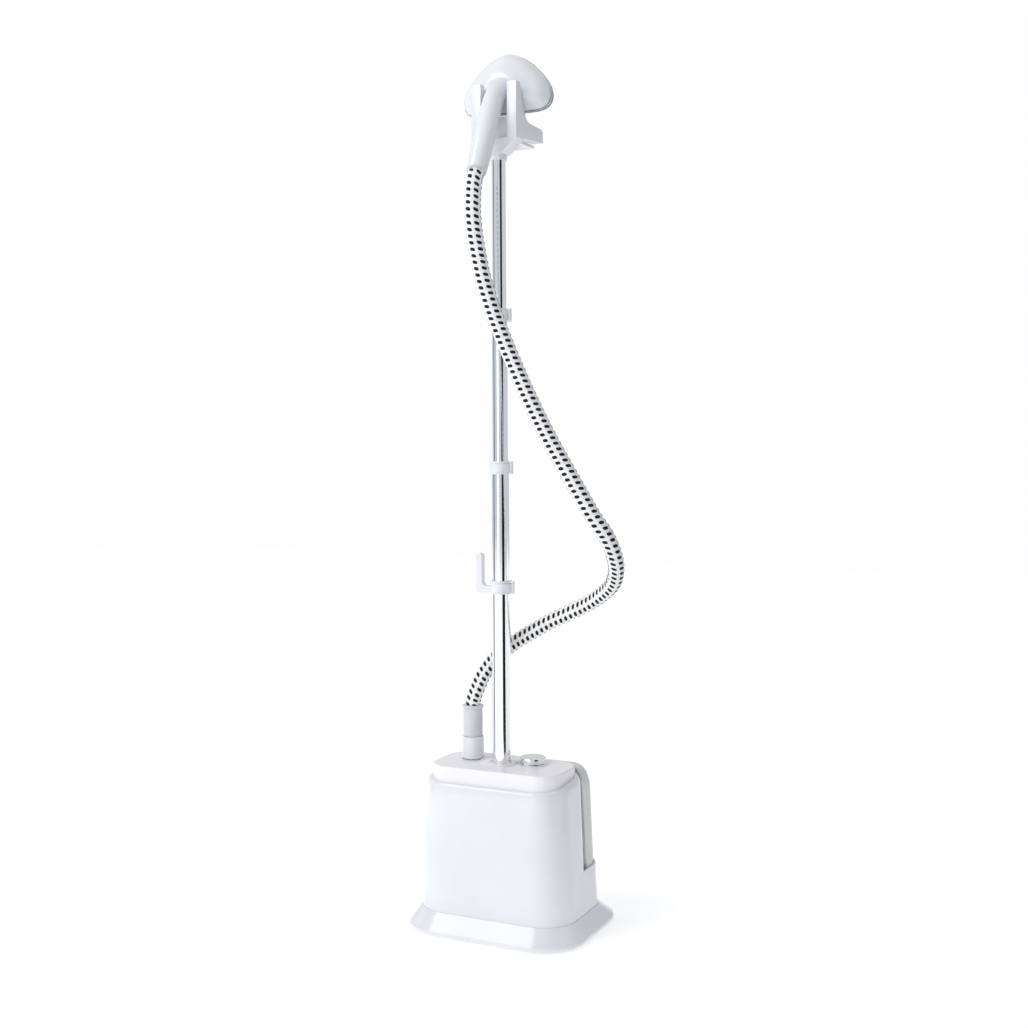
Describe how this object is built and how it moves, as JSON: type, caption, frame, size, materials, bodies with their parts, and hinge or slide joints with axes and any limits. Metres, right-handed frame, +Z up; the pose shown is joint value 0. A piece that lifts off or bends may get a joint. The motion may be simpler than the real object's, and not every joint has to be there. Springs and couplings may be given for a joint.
{
  "type": "garment steamer",
  "caption": "Upright garment steamer: flared base with lift-off rear tank, telescopic pole with clamp collars, handset cradle, steam handset and sleeved hose.",
  "frame": {"origin": "on the floor, under the middle of the base's footprint", "axes": "+Z up along the pole, -Y towards the front of the base, +X to the right seen from the front"},
  "size_m": [0.3935, 0.2825, 1.4979],
  "materials": {
    "white_shell": "smooth glossy white moulding",
    "deck_shell": "satin off-white moulding",
    "foot_rubber": "matt black rubber",
    "grey_plastic": "light grey moulding",
    "dark_plastic": "dark grey moulding",
    "steel": "zinc plated steel",
    "cast_aluminium": "as-cast aluminium",
    "silicone": "soft silicone",
    "chrome_trim": "bright chrome plate",
    "lens": "frosted clear moulding",
    "cuff_grey": "light grey soft moulding",
    "tank_clear": "milky translucent moulding",
    "rim_clear": "pale translucent moulding",
    "sole_metal": "polished aluminium",
    "pole_chrome": "bright chromed steel tube",
    "hose_sleeve": "white braided sleeve with black flecks"
  },
  "bodies": {
    "base": {"base_skirt": "white_shell", "foot_pads": "foot_rubber", "housing": "white_shell", "tank_tray": "white_shell", "valve_seat": "white_shell", "cord_gland": "grey_plastic", "base_screws": "steel", "boiler": "cast_aluminium", "boiler_gasket": "silicone", "boiler_lid": "cast_aluminium", "thermostat": "grey_plastic", "feed_tube": "silicone", "steam_pipe": "steel", "deck": "deck_shell", "rotary_switch": "dark_plastic", "dial_base": "chrome_trim", "indicator_lens": "lens", "steam_outlet": "white_shell", "hose_cuff": "cuff_grey", "pole_socket": "deck_shell", "tube_1": "pole_chrome", "collar_1": "white_shell", "lever_pin_1": "steel", "hose_hook": "white_shell", "hose_1": "hose_sleeve"},
    "dial": {"dial_knob": "chrome_trim"},
    "nut": {"coupling_nut": "white_shell"},
    "lock_tab": {"pole_lock_tab": "deck_shell"},
    "tank": {"water_tank": "tank_clear"},
    "cap": {"tank_cap": "white_shell", "tank_seal": "silicone", "valve_spring": "steel"},
    "valve": {"valve_plunger": "dark_plastic"},
    "pole_2": {"tube_2": "pole_chrome", "bush_2": "grey_plastic", "collar_2": "white_shell", "lever_pin_2": "steel", "hose_2": "hose_sleeve"},
    "pole_3": {"tube_3": "pole_chrome", "bush_3": "grey_plastic", "collar_3": "white_shell", "lever_pin_3": "steel", "hose_3": "hose_sleeve"},
    "pole_4": {"tube_4": "pole_chrome", "bush_4": "grey_plastic", "cradle": "white_shell", "cradle_screw": "steel", "hose_4": "hose_sleeve"},
    "clamp_1": {"lever_1": "white_shell"},
    "clamp_2": {"lever_2": "white_shell"},
    "clamp_3": {"lever_3": "white_shell"},
    "handset": {"handset_shell": "white_shell", "handle_cover": "white_shell", "handset_screws": "steel", "steam_tube": "silicone", "hose_end_ring": "cuff_grey", "head_rim": "rim_clear", "head_gasket": "silicone", "soleplate": "sole_metal"}
  },
  "joints": [
    {"name": "pole_2_slide", "type": "slide", "parent": "base", "child": "pole_2", "axis": [0, 0, -1], "range_m": [0, 0.18], "deforming": ["hose_1"]},
    {"name": "pole_3_slide", "type": "slide", "parent": "pole_2", "child": "pole_3", "axis": [0, 0, -1], "range_m": [0, 0.232], "deforming": ["hose_2"]},
    {"name": "pole_4_slide", "type": "slide", "parent": "pole_3", "child": "pole_4", "axis": [0, 0, -1], "range_m": [0, 0.244], "deforming": ["hose_3"]},
    {"name": "handset_lift", "type": "slide", "parent": "pole_4", "child": "handset", "axis": [0, 0, 1], "range_m": [0, 0.07], "deforming": ["hose_4"]},
    {"name": "dial_turn", "type": "hinge", "parent": "base", "child": "dial", "pos_m": [0.048, -0.014, 0.295], "axis": [0, 0, 1], "range_deg": [-270, 0]},
    {"name": "nut_turn", "type": "hinge", "parent": "base", "child": "nut", "pos_m": [-0.066, -0.017, 0.3], "axis": [0, 0, 1], "range_deg": [0, 90]},
    {"name": "lock_tab_slide", "type": "slide", "parent": "base", "child": "lock_tab", "axis": [1, 0, 0], "range_m": [0, 0.004], "stiffness_N_per_m": 600, "springref_m": -0.001},
    {"name": "tank_lift", "type": "slide", "parent": "base", "child": "tank", "axis": [0, 0, 1], "range_m": [0, 0.18]},
    {"name": "cap_turn", "type": "hinge", "parent": "tank", "child": "cap", "pos_m": [0, 0.065, 0.09], "axis": [0, 0, 1], "range_deg": [0, 90]},
    {"name": "valve_push", "type": "slide", "parent": "cap", "child": "valve", "axis": [0, 0, 1], "range_m": [0, 0.003], "stiffness_N_per_m": 300, "springref_m": -0.003, "deforming": ["valve_spring"]},
    {"name": "clamp_1_flip", "type": "hinge", "parent": "base", "child": "clamp_1", "pos_m": [0.0221, -0.036, 0.594], "axis": [0, 0, 1], "range_deg": [0, 95]},
    {"name": "clamp_2_flip", "type": "hinge", "parent": "pole_2", "child": "clamp_2", "pos_m": [0.0206, -0.036, 0.798], "axis": [0, 0, 1], "range_deg": [0, 95]},
    {"name": "clamp_3_flip", "type": "hinge", "parent": "pole_3", "child": "clamp_3", "pos_m": [0.0191, -0.036, 1.055], "axis": [0, 0, 1], "range_deg": [0, 95]}
  ]
}
